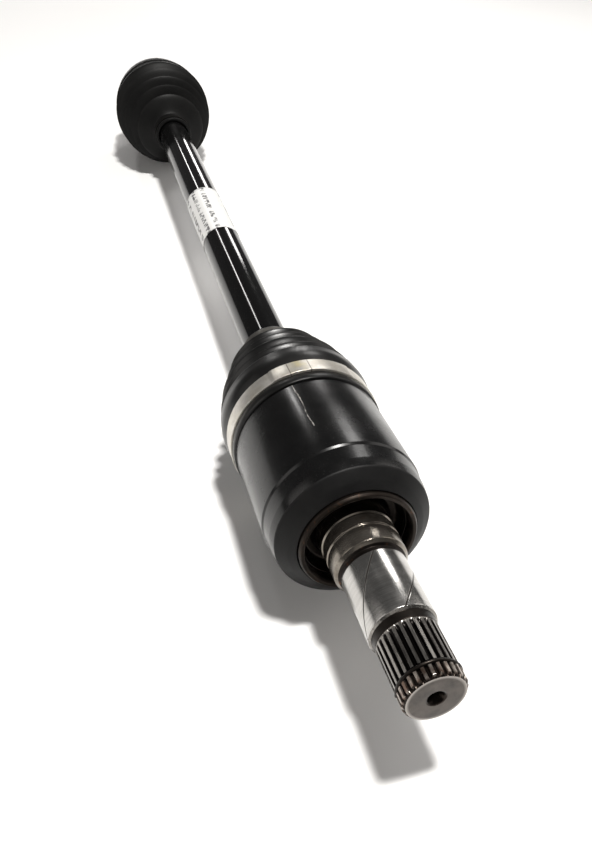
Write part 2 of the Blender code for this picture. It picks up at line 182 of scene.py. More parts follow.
def gloss_paint(name, roughness, grey, scratched=False):
    """Black paint with a soft orange-peel surface, smudges, a few fine specks and maybe a scratch."""
    m = Nodes(name)
    peel = m.noise(700, 2)
    smudge = m.noise(38, 5, 0.65)
    specks = m.spread(m.noise(2600, 1), 0.72, 0.78)
    colour = m.mix(m.math("MULTIPLY", specks, 0.3), (grey, grey, grey * 1.05), (0.16, 0.155, 0.15))
    if scratched:
        x, _, _, turn = m.axis()
        wander = m.math("MULTIPLY", m.math("SUBTRACT", m.noise(170, 4, 0.7), 0.5), 0.012)
        off_line = m.math("ABSOLUTE", m.math("SUBTRACT", m.math("ADD", turn, wander), SCRATCH_TURN))
        before_end = m.math("LESS_THAN", x, SCRATCH_END)
        within = m.math("MULTIPLY", before_end, m.math("GREATER_THAN", x, SCRATCH_START))
        scratch = m.math("MULTIPLY", m.spread(off_line, 0.0003, 0.0012, 1, 0), within)
        depth = m.spread(m.noise(260, 3), 0.4, 0.6, 0.15, 0.8)
        colour = m.mix(m.math("MULTIPLY", scratch, depth), colour, (0.40, 0.39, 0.37))
    m.bump(peel, 0.00003, 0.3)
    return m.set(
        colour=colour,
        roughness=m.spread(smudge, 0.3, 0.75, roughness * 0.8, roughness * 1.45),
        specular=0.3,
        coat=0.08,
        coat_roughness=0.07,
    )


def satin_paint():
    """The thin, dry paint on the housing's rear face."""
    m = Nodes("satin_black_paint")
    cloud = m.noise(60, 6, 0.7)
    grain = m.noise(2400, 3)
    colour = m.mix(m.spread(cloud, 0.35, 0.75), (0.0022, 0.0022, 0.0024), (0.006, 0.0058, 0.0056))
    m.bump(grain, 0.00008, 0.4)
    return m.set(colour=colour, roughness=m.spread(cloud, 0.3, 0.8, 0.45, 0.62), specular=0.18)


def polished_steel():
    """The ground seal journal: bright, with fine turning marks and thin oil lines that wind along it."""
    m = Nodes("polished_steel")
    x, _, _, turn = m.axis()
    lines = m.noise(55, 3, 0.6, (60, 1, 1))
    cloud = m.noise(120, 4, 0.6)
    wind = m.math("SUBTRACT", m.math("MULTIPLY", turn, 4), m.math("MULTIPLY", x, 31))
    near = m.math("ABSOLUTE", m.math("SUBTRACT", m.math("FRACT", m.math("ADD", wind, 0.16)), 0.5))
    oil = m.spread(near, 0.014, 0.024, 1, 0)
    tone = m.mix(m.spread(lines, 0.35, 0.7), (0.40, 0.39, 0.375), (0.60, 0.59, 0.57))
    m.bump(m.math("SUBTRACT", lines, m.math("MULTIPLY", oil, 6)), 0.00002, 0.4)
    return m.set(
        colour=m.mix(oil, tone, (0.02, 0.017, 0.014)),
        metallic=m.spread(oil, 0, 1, 1, 0.3),
        roughness=m.spread(cloud, 0.3, 0.7, 0.17, 0.26),
    )


def spline_steel():
    """Spline teeth: worn bright on top, with near-black painted shade in the gaps between them, and turned
    brown in front of the circlip, where the gaps are also painted dark as shade.
    """
    m = Nodes("spline_steel")
    x, y, z, _ = m.axis()
    reach = m.math("SQRT", m.math("ADD", m.math("MULTIPLY", y, y), m.math("MULTIPLY", z, z)))
    stain = m.noise(420, 5, 0.7, (0.12, 1, 1))
    # Tooth tops by radius; the gaps below them take near-black painted shade.
    top = m.spread(reach, 0.01255, 0.01282)
    patchy = m.math("MULTIPLY", top, m.spread(stain, 0.36, 0.6, 0.35, 1))
    shaft_side_gap_shade = m.mix(patchy, (0.007, 0.006, 0.0055), (0.30, 0.285, 0.265))
    worn = m.mix(m.spread(m.noise(300, 5, 0.7), 0.38, 0.62), (0.40, 0.365, 0.33), (0.13, 0.09, 0.07))
    # Painted shade: in front of the circlip the gaps below the tooth tops are painted dark.
    browned_front_gap_shade = m.mix(m.spread(reach, 0.0121, 0.01265), (0.022, 0.017, 0.014), worn)
    front = m.math("LESS_THAN", x, CIRCLIP_X)
    m.bump(stain, 0.00006, 0.5)
    return m.set(
        colour=m.mix(front, shaft_side_gap_shade, browned_front_gap_shade),
        metallic=0.92,
        roughness=m.spread(stain, 0.3, 0.7, 0.16, 0.34),
    )


def turned_steel(name, light, dark, roughness, rust=0.0):
    """Bare lathe-turned steel: rings of tool marks, oil stains and some rust freckles."""
    m = Nodes(name)
    lines = m.noise(50, 4, 0.65, (70, 1, 1))
    stain = m.noise(95, 6, 0.7)
    colour = m.mix(m.spread(stain, 0.35, 0.7), light, dark)
    if rust:
        freckles = m.spread(m.noise(320, 6, 0.75), 0.62 - rust * 0.2, 0.78 - rust * 0.2)
        colour = m.mix(freckles, colour, (0.17, 0.075, 0.035))
    m.bump(lines, 0.00005, 0.5)
    worn = m.spread(stain, 0.3, 0.75, roughness, roughness * 1.7)
    return m.set(colour=colour, metallic=0.95, roughness=worn)


def stub_face_steel():
    """The stub's end face: brown-grey hardening tints in faint turned rings, paler at the worn chamfer, with
    near-black painted shade in its centre hole.
    """
    m = Nodes("tinted_steel")
    x, y, z, _ = m.axis()
    reach = m.math("SQRT", m.math("ADD", m.math("MULTIPLY", y, y), m.math("MULTIPLY", z, z)))
    rings = m.math("SINE", m.math("MULTIPLY", reach, 9000))
    cloud = m.noise(150, 5, 0.65)
    colour = m.mix(m.spread(cloud, 0.35, 0.65), (0.035, 0.03, 0.027), (0.10, 0.087, 0.078))
    colour = m.mix(m.spread(rings, -1, 1, 0, 0.15), colour, (0.15, 0.136, 0.123))
    colour = m.mix(m.spread(reach, 0.0104, 0.0116), colour, (0.36, 0.335, 0.31))
    # Painted shade: the centre hole, inside about 4 mm radius, is painted near-black.
    colour = m.mix(m.spread(reach, 0.0035, 0.0043), (0.012, 0.01, 0.009), colour)
    m.bump(rings, 0.00001, 0.5)
    return m.set(colour=colour, metallic=0.85, roughness=m.spread(cloud, 0.3, 0.7, 0.32, 0.5))


def band_steel():
    """Stainless clamp strip with rolling marks along it, a straw tint near its weld and two seam lines."""
    m = Nodes("band_steel")
    _, _, _, turn = m.axis()
    grain = m.noise(24, 4, 0.6, (45, 1, 1))
    from_weld = m.math("ABSOLUTE", m.math("SUBTRACT", turn, WELD_TURN))
    tint = m.math("MULTIPLY", m.spread(from_weld, 0.003, 0.022, 1, 0.14), m.spread(m.noise(90, 3), 0.4, 0.6))
    seam = m.spread(m.math("ABSOLUTE", m.math("SUBTRACT", from_weld, SEAM_APART)), 0.0006, 0.0014, 1, 0)
    steel = m.mix(m.spread(m.noise(140, 5, 0.7), 0.35, 0.65), (0.66, 0.64, 0.60), (0.50, 0.475, 0.435))
    colour = m.mix(m.math("MULTIPLY", tint, 0.8), steel, (0.68, 0.60, 0.36))
    colour = m.mix(m.math("MULTIPLY", seam, 0.75), colour, (0.12, 0.10, 0.08))
    m.bump(grain, 0.00003, 0.5)
    return m.set(colour=colour, metallic=0.9, roughness=m.spread(grain, 0.3, 0.7, 0.3, 0.46))


def moulded(name, roughness, grey, specular):
    """Black moulded boot material: faint grain, a dusty bloom and streaks of mould release."""
    m = Nodes(name)
    bloom = m.noise(42, 6, 0.7)
    grain = m.noise(1500, 3)
    colour = m.mix(m.spread(bloom, 0.4, 0.8), (grey, grey, grey), (grey * 2.1, grey * 2.05, grey * 1.95))
    m.bump(grain, 0.00008, 0.45)
    dusty = m.spread(bloom, 0.3, 0.8, roughness, roughness * 1.35)
    return m.set(colour=colour, roughness=dusty, specular=specular)


def label_paper():
    """White coated paper with rows of small plain marks where a parts label has its print."""
    m = Nodes("label_paper")
    x, _, _, turn = m.axis()
    row = m.math("MULTIPLY", turn, 11)
    in_row = m.spread(m.math("ABSOLUTE", m.math("SUBTRACT", m.math("FRACT", row), 0.5)), 0.2, 0.24, 1, 0)
    used = m.math("LESS_THAN", m.math("FRACT", m.math("MULTIPLY", m.math("FLOOR", row), 0.29)), 0.72)
    marks = None
    for along, across, share in ((1000, 4, 0.5), (240, 1, 0.78)):
        cell = m.node("ShaderNodeCombineXYZ")
        m.link(m.math("FLOOR", m.math("MULTIPLY", x, along)), cell.inputs[0])
        m.link(m.math("FLOOR", m.math("MULTIPLY", row, across)), cell.inputs[1])
        random = m.node("ShaderNodeTexWhiteNoise", noise_dimensions="2D")
        m.link(cell.outputs[0], random.inputs["Vector"])
        chosen = m.math("LESS_THAN", random.outputs["Value"], share)
        marks = chosen if marks is None else m.math("MULTIPLY", marks, chosen)
    printed = m.math("MULTIPLY", m.math("MULTIPLY", in_row, used), marks)
    fibre = m.noise(900, 4)
    paper = m.mix(m.spread(fibre, 0.3, 0.7), (0.62, 0.62, 0.61), (0.70, 0.70, 0.69))
    m.bump(fibre, 0.00002, 0.4)
    return m.set(colour=m.mix(m.math("MULTIPLY", printed, 0.9), paper, (0.05, 0.05, 0.055)), roughness=0.4)


def floor_finish():
    """Matt off-white, with hardly any cloud in it."""
    m = Nodes("pale_floor")
    cloud = m.noise(1.3, 4, 0.5)
    return m.set(colour=m.mix(cloud, (0.86, 0.86, 0.86), (0.9, 0.9, 0.895)), roughness=0.55, specular=0.3)


SCRATCH_TURN = 0.213  # in turns about the housing's axis from its +Y side towards +Z
SCRATCH_START, SCRATCH_END = -0.0195, 0.017
WELD_TURN, SEAM_APART = 0.24, 0.021
CIRCLIP_X = (5.5 - INNER_REACH) * MM

PAINT = gloss_paint("black_paint", 0.23, 0.0022)
HOUSING_PAINT = gloss_paint("housing_paint", 0.23, 0.0022, True)
SHAFT_PAINT = gloss_paint("shaft_paint", 0.085, 0.0022)
SATIN = satin_paint()
JOURNAL = polished_steel()
SPLINE = spline_steel()
BRIGHT = turned_steel("bright_steel", (0.56, 0.54, 0.51), (0.40, 0.375, 0.34), 0.2)
COLLAR = turned_steel("collar_steel", (0.30, 0.275, 0.24), (0.10, 0.086, 0.07), 0.16, 0.05)
DARK = turned_steel("dark_steel", (0.026, 0.022, 0.019), (0.011, 0.009, 0.008), 0.27, 0.05)
RING = turned_steel("ring_steel", (0.026, 0.0205, 0.0165), (0.011, 0.009, 0.008), 0.32, 0.1)
WORN = turned_steel("worn_spline", (0.46, 0.43, 0.39), (0.27, 0.235, 0.20), 0.24, 0.3)
FACE = stub_face_steel()
BAND = band_steel()
BLACK_BAND = turned_steel("black_band", (0.014, 0.0135, 0.013), (0.009, 0.0085, 0.008), 0.5)
NECK_BAND = turned_steel("neck_band", (0.13, 0.125, 0.115), (0.06, 0.056, 0.05), 0.4)
PLASTIC = moulded("boot_plastic", 0.27, 0.0024, 0.34)
RUBBER = moulded("boot_rubber", 0.42, 0.0028, 0.13)
PAPER = label_paper()


# ---------------------------------------------------------------- mesh building


def filleted(outline, closed=False):
    """The outline with each corner that names a fillet radius, as (x, r, fillet), rounded by an arc."""
    points = []
    count = len(outline)
    for k, point in enumerate(outline):
        here = Vector(point[:2])
        radius = point[2] if len(point) > 2 else 0
        if not radius or (not closed and k in (0, count - 1)):
            points.append(tuple(here))
            continue
        before = (Vector(outline[k - 1][:2]) - here).normalized()
        after = (Vector(outline[(k + 1) % count][:2]) - here).normalized()
        half = before.angle(after) / 2
        away = radius / math.tan(half)
        centre = here + (before + after).normalized() * (radius / math.sin(half))
        first = (here + before * away) - centre
        last = (here + after * away) - centre
        steps = max(3, round(math.degrees(first.angle(last)) / 14))
        sweep = first.angle_signed(last)
        for step in range(steps + 1):
            turn = Matrix.Rotation(-sweep * step / steps, 2)
            points.append(tuple(centre + turn @ first))
    return points


def swept(outline, sides, shape=None, closed=False, slots=None):
    """(vertices, faces, slot of each face) of an outline turned about X.

    shape(x, r, turn) may change the radius at a point. slots(x, r) names the material slot at a place.
    """
    verts, rows = [], []
    for x, r in outline:
        if r < 1e-6:
            rows.append([len(verts)] * sides)
            verts.append((x * MM, 0, 0))
            continue
        row = []
        for k in range(sides):
            turn = k / sides
            radius = (shape(x, r, turn) if shape else r) * MM
            row.append(len(verts))
            angle = turn * 2 * math.pi
            verts.append((x * MM, radius * math.sin(angle), radius * math.cos(angle)))
        rows.append(row)
    faces, marks = [], []
    pairs = list(zip(range(len(rows)), range(1, len(rows))))
    if closed:
        pairs.append((len(rows) - 1, 0))
    for a, b in pairs:
        middle = [(outline[a][i] + outline[b][i]) / 2 for i in (0, 1)]
        mark = slots(*middle) if slots else 0
        for k in range(sides):
            after = (k + 1) % sides
            face = [rows[a][k], rows[a][after], rows[b][after], rows[b][k]]
            face = list(dict.fromkeys(face))
            if len(face) > 2:
                faces.append(face)
                marks.append(mark)
    return verts, faces, marks


def mesh_object(name, verts, faces, marks, materials, sharp=35):
    mesh = bpy.data.meshes.new(name)
    mesh.from_pydata(verts, [], faces)
    for finish in materials:
        mesh.materials.append(finish)
    mesh.polygons.foreach_set("material_index", marks)
    bm = bmesh.new()
    bm.from_mesh(mesh)
    bmesh.ops.recalc_face_normals(bm, faces=bm.faces)
    bm.to_mesh(mesh)
    bm.free()
    mesh.shade_smooth()
    mesh.set_sharp_from_angle(angle=math.radians(sharp))
    obj = bpy.data.objects.new(name, mesh)
    bpy.context.scene.collection.objects.link(obj)
    return obj


def turned(name, outline, place, materials, sides=128, shape=None, closed=False, slots=None):
    obj = mesh_object(name, *swept(outline, sides, shape, closed, slots), materials)
    obj.matrix_world = place
    return obj


def ring_of(name, x0, x1, inner_r, outer_r, edge, place, finish, sides=96):
    outline = [(x0, inner_r, edge), (x0, outer_r, edge), (x1, outer_r, edge), (x1, inner_r, edge)]
    return turned(name, filleted(outline, True), place, [finish], sides, closed=True)


def stands_for(piece, body, slot, *nodes):
    """The piece rides on a body and replaces these CAD nodes."""
    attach(piece, body)
    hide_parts(*nodes)
    return piece


def spline_radius(root, tip, teeth, turn):
    """The radius round a spline with rounded flanks."""
    share = (turn * teeth) % 1
    flank = abs(share - 0.5) * 2
    rise = min(max((0.66 - flank) / 0.24, 0), 1)
    return root + (tip - root) * rise


def track_radius(turn):
    """The radius round the cup's three roller tracks, each a channel with rounded corners."""
    from_spoke = abs((turn - TRACK_TURN + 1 / 6) % (1 / 3) - 1 / 6) * 2 * math.pi
    out, across = math.cos(from_spoke), max(math.sin(from_spoke), 1e-6)
    reach = min(TRACK_ROOF / out, TRACK_HALF_WIDTH / across)
    roof, side = TRACK_ROOF - TRACK_CORNER_R, TRACK_HALF_WIDTH - TRACK_CORNER_R
    if reach * out > roof and reach * across > side:
        reach = roof * out + side * across
        reach += math.sqrt(max(TRACK_CORNER_R**2 - (roof * across - side * out) ** 2, 0))
    return reach


# ---------------------------------------------------------------- inner joint


def at(distance):
    """The x of a place on the inner joint, from how far it is from the stub's end."""
    return distance - INNER_REACH


def inner_housing():
    """The forged cup and its stub in one piece: spline, journal, collar, recessed rear face and wall."""

    spline_start, groove, spline_fade, spline_end = at(1.3), at(5.5), at(23.5), at(26.2)
    outline = [(at(7.5), 0), (at(7.2), 1.5, 0.5), (at(3.4), 1.9, 0.8), (at(0.2), 3.6, 0.4), (at(0), 4.1, 0.2)]
    outline += [(at(0), 11.7, 0.3), (spline_start, 12.8, 0.3), (groove, 12.85), (groove + 0.02, 11)]
    outline += [(groove + 1.88, 11), (groove + 1.9, 12.85), (at(14), 12.85), (spline_fade, 12.85)]
    outline += [(at(24.4), 12.86), (at(25.3), 12.87), (spline_end, 12.9), (at(26.6), 13.0, 0.3)]
    outline += [(at(30.2), 13.05, 0.3), (at(31), 14.3, 0.4), (at(61.3), 14.3, 0.25), (at(61.9), 13.7, 0.2)]
    outline += [(at(63.8), 13.7, 0.3), (at(64.4), 14.9, 0.3), (at(65.8), 16.3, 0.5)]
    outline += [(at(73.2), 16.5, 0.2), (at(73.6), 16.0, 0.15), (at(74.6), 16.0, 0.15), (at(75), 16.5, 0.2)]
    outline += [(at(79.4), 16.5, 0.2), (at(79.9), 15.9, 0.15), (at(81.6), 15.9, 0.15), (at(82.1), 16.6, 0.2)]
    outline += [(at(90), 16.6, 0.8), (at(93), 18.3, 1.2), (at(93), 21.6, 1.2), (at(89), 23.6, 0.8)]
    outline += [(at(86.5), 23.6, 0.3), (at(86.5), 27.1, 0.2), (at(82), 27.1, 0.4), (at(84.2), 31.0, 8)]
    outline += [(at(88.0), 35.7, 1.6), (at(93), 36.6, 6), (at(101.2), 37.1, 0.8), (at(102.4), HOUSING_R, 0.6)]
    outline += [(at(153.3), HOUSING_R, 0.5), (at(154), CUFF_SEAT_R), (CUP_MOUTH - 0.3, CUFF_SEAT_R)]
    for row in range(MOUTH_ROWS + 1):
        share = row / MOUTH_ROWS
        outline.append((CUP_MOUTH - MOUTH_DEPTH * share, MOUTH_R + (CUP_BORE_R - MOUTH_R) * share))
    outline += [(CUP_FLOOR, CUP_BORE_R), (CUP_FLOOR, 0)]

    def shape(x, r, turn):
        if x > CUP_FLOOR - 0.1 and 0 < r < MOUTH_R + 0.1:
            return max(r, track_radius(turn))
        if x > spline_end or x < at(0.1) or r < 11.2:
            return r
        fade = min(max((x - spline_fade) / (spline_end - spline_fade), 0), 1)
        root = 11.75 + (r - 11.75) * fade**2
        return min(r, spline_radius(root, max(r, root), INNER_TEETH, turn))

    def slots(x, r):
        if x < at(0.05) and r < 12.3:
            return 0
        if x < at(30.9):
            return 1 if x < spline_end or r > 13.6 else 3
        if x < at(61.6):
            return 2
        if x < at(65) or (x < at(93.5) and r < 23.5 and x > at(88)):
            return 3
        if x < at(93.5) and r < 23.55:
            return 4 if r < 17 and x > at(64.9) else 3
        if r < 27.2 and x < at(90):
            return 3
        return 5 if x < at(89.6) else 6

    materials = [FACE, SPLINE, JOURNAL, DARK, COLLAR, SATIN, HOUSING_PAINT]
    sides = INNER_TEETH * 10
    piece = turned("inner_housing_forging", filleted(outline), AT_INNER, materials, sides, shape, slots=slots)
    stands_for(piece, "inner_joint", "black_paint", "inner_housing")


def stub_circlip():
    """A round-wire ring sprung open in the spline's groove, with a gap between its ends."""
    groove = 5.5 - INNER_REACH + 0.95
    gap = math.radians(16)
    verts, faces = [], []
    around, section = 120, 10
    for k in range(around + 1):
        turn = math.radians(118) + gap + (2 * math.pi - 2 * gap) * k / around
        for s in range(section):
            lean = 2 * math.pi * s / section
            r = (12.45 + 0.82 * math.cos(lean)) * MM
            verts.append(((groove + 0.72 * math.sin(lean)) * MM, r * math.sin(turn), r * math.cos(turn)))
    for k in range(around):
        for s in range(section):
            after = (s + 1) % section
            first, second = k * section, (k + 1) * section
            faces.append([first + s, first + after, second + after, second + s])
    faces.append(list(range(section)))
    faces.append([around * section + s for s in range(section)])
    piece = mesh_object("stub_circlip_wire", verts, faces, [0] * len(faces), [DARK], 50)
    piece.matrix_world = AT_INNER
    stands_for(piece, "inner_joint", "dark_steel", "stub_circlip")


def dust_ring():
    """The pressed ring round the recess in the rear face, with a rolled front edge."""

    outline = [(at(86.3), 23.8, 0.2), (at(81.6), 23.8, 0.4), (at(80.1), 24.6, 0.5), (at(80.0), 26.1, 0.6)]
    outline += [(at(81.2), 26.9, 0.5), (at(86.3), 26.9, 0.2)]
    piece = turned("dust_ring_pressing", filleted(outline, True), AT_INNER, [RING], 144, closed=True)
    stands_for(piece, "inner_joint", "dark_steel", "dust_ring")


def band_clamp(name, place, start, width, inner_r, body, slot, node, finish, ear_turn=None, lap_turn=None):
    """A strip clamp: a band, whose outer end laps over the inner one, with a pinched ear where it has one."""
    thickness = 0.9

    def shape(x, r, turn):
        if r < inner_r + thickness / 2 or lap_turn is None:
            return r
        away = (turn - lap_turn) % 1
        return r + (0.45 if away < 0.17 else 0)

    end, outer_r, edge = start + width, inner_r + thickness, 0.22
    outline = [(start, inner_r), (start, outer_r, edge), (end, outer_r, edge), (end, inner_r)]
    piece = turned(name, filleted(outline, True), place, [finish], 240, shape, True)
    if ear_turn is not None:
        ear = ear_strip(f"{name}_ear", place, start, width, inner_r + thickness, ear_turn, finish)
        stands_for(ear, body, slot, node)
    stands_for(piece, body, slot, node)


def ear_strip(name, place, start, width, base_r, turn, finish):
    """The pinched loop of a one-ear clamp, an omega of strip that stands on the band."""
    half, height, strip = 3.6, 4.6, 0.8
    path = [(-half - 2.4, 0.25), (-half - 0.6, 0.35), (-half + 0.7, 1.6), (-half - 0.3, 3.2)]
    path += [(-half + 1.2, height), (0, height - 0.5)]
    path += [(-y, z) for y, z in path[-2::-1]]
    smooth = []
    for k in range(len(path) - 1):
        a, b = Vector(path[k]), Vector(path[k + 1])
        p0 = Vector(path[max(k - 1, 0)])
        p3 = Vector(path[min(k + 2, len(path) - 1)])
        for step in range(6):
            t = step / 6
            cubic = (2 * p0 - 5 * a + 4 * b - p3) * t**2 + (3 * a - p0 - 3 * b + p3) * t**3
            smooth.append(0.5 * (2 * a + (b - p0) * t + cubic))
    smooth.append(Vector(path[-1]))
    verts, faces = [], []
    for k, point in enumerate(smooth):
        before, after = smooth[max(k - 1, 0)], smooth[min(k + 1, len(smooth) - 1)]
        along = (after - before).normalized()
        side = Vector((-along.y, along.x)) * strip / 2
        for place_x in (start + 0.4, start + width - 0.4):
            for sign in (-1, 1):
                y, z = point + side * sign
                verts.append((place_x * MM, y * MM, (base_r + z - 0.05) * MM))
    for k in range(len(smooth) - 1):
        a, b = k * 4, k * 4 + 4
        for i, j in ((0, 1), (1, 3), (3, 2), (2, 0)):
            faces.append([a + i, a + j, b + j, b + i])
    faces.append([0, 1, 3, 2])
    last = len(verts) - 4
    faces.append([last, last + 1, last + 3, last + 2])
    ear = mesh_object(name, verts, faces, [0] * len(faces), [finish], 50)
    ear.matrix_world = place @ Matrix.Rotation(-turn * 2 * math.pi, 4, "X")
    return ear


# ---------------------------------------------------------------- boots


BOOT_SIDES = 144
INNER_WALL, OUTER_WALL = 1.3, 1.8
INNER_BEND_START, INNER_BEND_END = 36, 90
OUTER_BEND_START, OUTER_BEND_END = -20, -79


def bellows_line(crests, valleys, start, end, steps=14):
    """A smooth wavy line through crests and valleys in turn, as (x, r), from start to end."""
    knots = [start]
    for k, crest in enumerate(crests):
        knots.append(crest)
        if k < len(valleys):
            knots.append(valleys[k])
    knots.append(end)
    line = []
    for (x0, r0), (x1, r1) in zip(knots, knots[1:]):
        for step in range(steps):
            t = step / steps
            ease = (1 - math.cos(math.pi * t)) / 2
            ease = 0.55 * ease + 0.45 * t
            line.append((x0 + (x1 - x0) * t, r0 + (r1 - r0) * ease))
    line.append(knots[-1])
    return line


def boot_object(name, line, wall, start, end, finish, place):
    """A boot's skin, bent at rest from its housing's axis to the shaft's between start and end."""
    inner = [(x, r - wall) for x, r in line]
    verts, faces, marks = swept(line + inner[::-1], BOOT_SIDES, closed=True)
    shaft_way = place.to_3x3().inverted() @ Vector((1, 0, 0))
    lean = Vector((1, 0, 0)).rotation_difference(shaft_way)
    moved = []
    for vert in verts:
        share = min(max((vert[0] / MM - start) / (end - start), 0), 1)
        share = share * share * (3 - 2 * share)
        moved.append(Quaternion().slerp(lean, share) @ Vector(vert))
    obj = mesh_object(name, moved, faces, marks, [finish], 60)
    obj.matrix_world = place
    return obj


def in_row(place, x):
    """The point x mm along a joint's axis, in the row frame."""
    return place @ Vector((x * MM, 0, 0))


def inner_boot():
    """Two pieces that meet in a valley: a wide one and a narrow one."""
    split = (55, 33.8)
    wide = [(15.6, 38.2), (15.9, 38.5), (20.6, 38.5), (21, 38.25), (30.8, 38.25), (31.2, 38.6), (32, 38.8)]
    wide += [(34.6, 39.6), (36.4, 39.95)]
    wide += bellows_line([(44.2, 39.4), (51.4, 37.9)], [(47.8, 36.4)], (38.5, 40.0), split)
    crests, valleys = [(60.4, 35.6), (70.6, 31.6), (80.5, 27.8)], [(66.2, 29.2), (76, 25.2)]
    narrow = bellows_line(crests, valleys, split, (89.8, 16.9))
    narrow += [(91, 16.5), (93.2, 16.35), (99.8, 16.35), (100.1, 16.7), (100.8, 16.7), (101, 16.5)]
    inner_form = (INNER_WALL, INNER_BEND_START, INNER_BEND_END, PLASTIC, AT_INNER)
    near = boot_object("inner_boot_wide", wide, *inner_form)
    far = boot_object("inner_boot_narrow", narrow, *inner_form)
    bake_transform(near)
    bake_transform(far)
    for piece in (near, far):
        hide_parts("inner_boot")
    steel, clamp, neck_clamp = "band_steel", "inner_boot_large_clamp", "inner_boot_small_clamp"
    band_clamp("inner_boot_band", AT_INNER, 21.2, 9.3, 38.3, "inner_joint", steel, clamp, BAND, None, 0.9)
    band_clamp("inner_boot_neck_band", AT_SHAFT, 93.5, 6, 16.4, "shaft", steel, neck_clamp, NECK_BAND, 0.35)


def outer_boot():
    """One bellows of rubber, which bends between the bell and the bar, with two black clamps."""
    crests = [(-30, 45.4), (-44.5, 43.8), (-55.5, 40.6), (-64.5, 36.6), (-72.5, 31.2)]
    depths = [8.5, 8, 7.5, 7]
    valleys = [((a[0] + b[0]) / 2, min(a[1], b[1]) - deep) for a, b, deep in zip(crests, crests[1:], depths)]
    line = [(4, 43.2), (3.7, 43.7), (0.4, 43.7), (0.1, 43.45), (-7.1, 43.45), (-7.4, 43.7)]
    line += bellows_line(crests, valleys, (-16, 43.7), (-80.5, 16.2))
    line += [(-81.6, 15.95), (-84.6, 15.95), (-91, 15.95), (-91.4, 16.3), (-93.5, 16.3), (-94, 15.9)]
    outer_form = (OUTER_WALL, OUTER_BEND_START, OUTER_BEND_END, RUBBER, AT_OUTER)
    boot = boot_object("outer_boot_bellows", line, *outer_form)
    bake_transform(boot)
    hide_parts("outer_boot")
    steel, clamp, neck_clamp = "dark_steel", "outer_boot_large_clamp", "outer_boot_small_clamp"
    band_clamp("outer_boot_band", AT_OUTER, -7, 7, 43.5, "outer_joint", steel, clamp, BLACK_BAND, 0.62, 0.42)
    band_clamp("outer_boot_neck_band", AT_BALLS, -90.5, 6, 16.0, "shaft", steel, neck_clamp, BLACK_BAND, 0.62)


# ---------------------------------------------------------------- shaft


def shaft():
    """The solid bar, necked inside both boots, with its ring grooves."""
    race = CENTRE_DISTANCE
    outline = [(-18, 0), (-18, 10.2, 0.3), (-17, 11.2, 0.3), (-14.6, 11.2), (-14.6, 10), (-12.4, 10)]
    outline += [(-12.4, 11.2), (11.3, 11.2), (12, NECK_R, 0.2), (78, NECK_R, 3), (84, SHAFT_R, 3)]
    outline.append((race - 86, SHAFT_R, 3))
    outline += [(race - 80, NECK_R, 3), (race - 18, NECK_R, 0.5), (race - 17, 13.2, 0.3), (race - 12.3, 13.2)]
    outline += [(race - 12.3, NECK_R), (race + 12.2, NECK_R), (race + 12.2, 10.3), (race + 14.4, 10.3)]
    outline += [(race + 14.4, NECK_R), (race + 16, NECK_R, 0.3), (race + 17, 10.5, 0.3), (race + 17, 0)]
    piece = turned("shaft_bar", filleted(outline), AT_SHAFT, [SHAFT_PAINT])
    stands_for(piece, "shaft", "black_paint", "intermediate_shaft")


def label():
    """Paper stuck round the bar, its end lapping over its start."""
    start, end, columns = 245.0, 319.0, 25
    around, seam_turn, laps, glue = 160, 0.36, 1.07, 0.12
    verts, faces = [], []
    xs = [start + (end - start) * k / (columns - 1) for k in range(columns)]
    for k in range(around + 1):
        share = k / around
        turn = (seam_turn + laps * share) * 2 * math.pi
        lift = glue * (1 + 1.3 * share)
        for x in xs:
            r = (SHAFT_R + lift) * MM
            verts.append((x * MM, r * math.sin(turn), r * math.cos(turn)))
    for k in range(around):
        for c in range(columns - 1):
            first, second = k * columns + c, (k + 1) * columns + c
            faces.append([first, first + 1, second + 1, second])
    piece = mesh_object("parts_label", verts, faces, [0] * len(faces), [PAPER], 50)
    thick = piece.modifiers.new("paper", "SOLIDIFY")
    thick.thickness = 0.1 * MM
    piece.matrix_world = AT_SHAFT
    stands_for(piece, "shaft", "paper", "shaft_label")


# ---------------------------------------------------------------- outer joint


